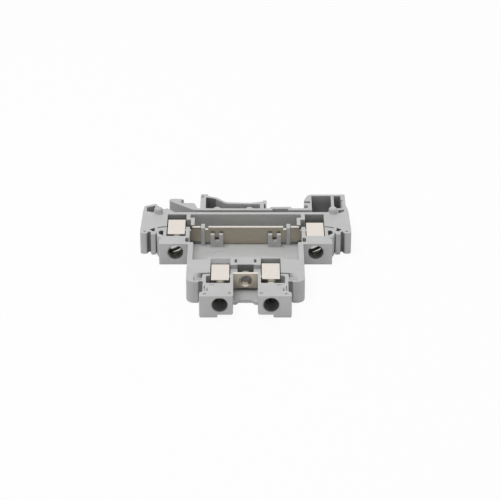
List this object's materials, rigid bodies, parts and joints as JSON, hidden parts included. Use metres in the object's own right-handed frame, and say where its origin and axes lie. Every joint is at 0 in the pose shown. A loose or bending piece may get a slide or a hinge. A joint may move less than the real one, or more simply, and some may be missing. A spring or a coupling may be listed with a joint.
{
  "type": "double-level terminal block",
  "caption": "Slim two-level terminal block for a 35 mm rail: moulded housing open on one side, caged screw clamps at both ends of each level, plated current bars and a hooked foot.",
  "frame": {"origin": "middle of the block's outline on its closed side, which it lies on", "axes": "+X along the conductors to the latch side, +Y towards the rail, +Z out of the open side"},
  "size_m": [0.0562, 0.0576, 0.0077],
  "materials": {
    "grey_plastic": "light grey moulded polyamide with a fine matt skin",
    "plated_bar": "tinned copper alloy strip, satin, with bright sheared edges",
    "bright_cage": "nickel plated steel strip, bright and faintly drawn",
    "screw_steel": "zinc plated steel, turned"
  },
  "bodies": {
    "block": {"housing": "grey_plastic", "lower_current_bar": "plated_bar", "upper_current_bar": "plated_bar"},
    "lower_left_cage": {"lower_left_cage": "bright_cage"},
    "lower_left_screw": {"lower_left_screw": "screw_steel"},
    "lower_right_cage": {"lower_right_cage": "bright_cage"},
    "lower_right_screw": {"lower_right_screw": "screw_steel"},
    "upper_left_cage": {"upper_left_cage": "bright_cage"},
    "upper_left_screw": {"upper_left_screw": "screw_steel"},
    "upper_right_cage": {"upper_right_cage": "bright_cage"},
    "upper_right_screw": {"upper_right_screw": "screw_steel"}
  },
  "joints": [
    {"name": "lower_left_screw_turn", "type": "hinge", "parent": "block", "child": "lower_left_screw", "pos_m": [-0.0185, 0.0016, 0.00355], "axis": [0, -1, 0], "range_deg": [-1296, 864]},
    {"name": "lower_left_cage_slide", "type": "slide", "parent": "block", "child": "lower_left_cage", "axis": [0, 1, 0], "range_m": [-0.0018, 0.0012]},
    {"name": "lower_right_screw_turn", "type": "hinge", "parent": "block", "child": "lower_right_screw", "pos_m": [0.0185, 0.0016, 0.00355], "axis": [0, -1, 0], "range_deg": [0, 2160]},
    {"name": "lower_right_cage_slide", "type": "slide", "parent": "block", "child": "lower_right_cage", "axis": [0, 1, 0], "range_m": [0, 0.003]},
    {"name": "upper_left_screw_turn", "type": "hinge", "parent": "block", "child": "upper_left_screw", "pos_m": [-0.0065, -0.0242, 0.00355], "axis": [0, -1, 0], "range_deg": [-1620, 540]},
    {"name": "upper_left_cage_slide", "type": "slide", "parent": "block", "child": "upper_left_cage", "axis": [0, 1, 0], "range_m": [-0.00225, 0.00075]},
    {"name": "upper_right_screw_turn", "type": "hinge", "parent": "block", "child": "upper_right_screw", "pos_m": [0.0065, -0.0242, 0.00355], "axis": [0, -1, 0], "range_deg": [-2052, 108]},
    {"name": "upper_right_cage_slide", "type": "slide", "parent": "block", "child": "upper_right_cage", "axis": [0, 1, 0], "range_m": [-0.00285, 0.00015]}
  ],
  "couplings": [
    {"joint": "lower_left_screw_turn", "follows": "lower_left_cage_slide", "rad_per_m": 12566},
    {"joint": "lower_right_screw_turn", "follows": "lower_right_cage_slide", "rad_per_m": 12566},
    {"joint": "upper_left_screw_turn", "follows": "upper_left_cage_slide", "rad_per_m": 12566},
    {"joint": "upper_right_screw_turn", "follows": "upper_right_cage_slide", "rad_per_m": 12566}
  ]
}
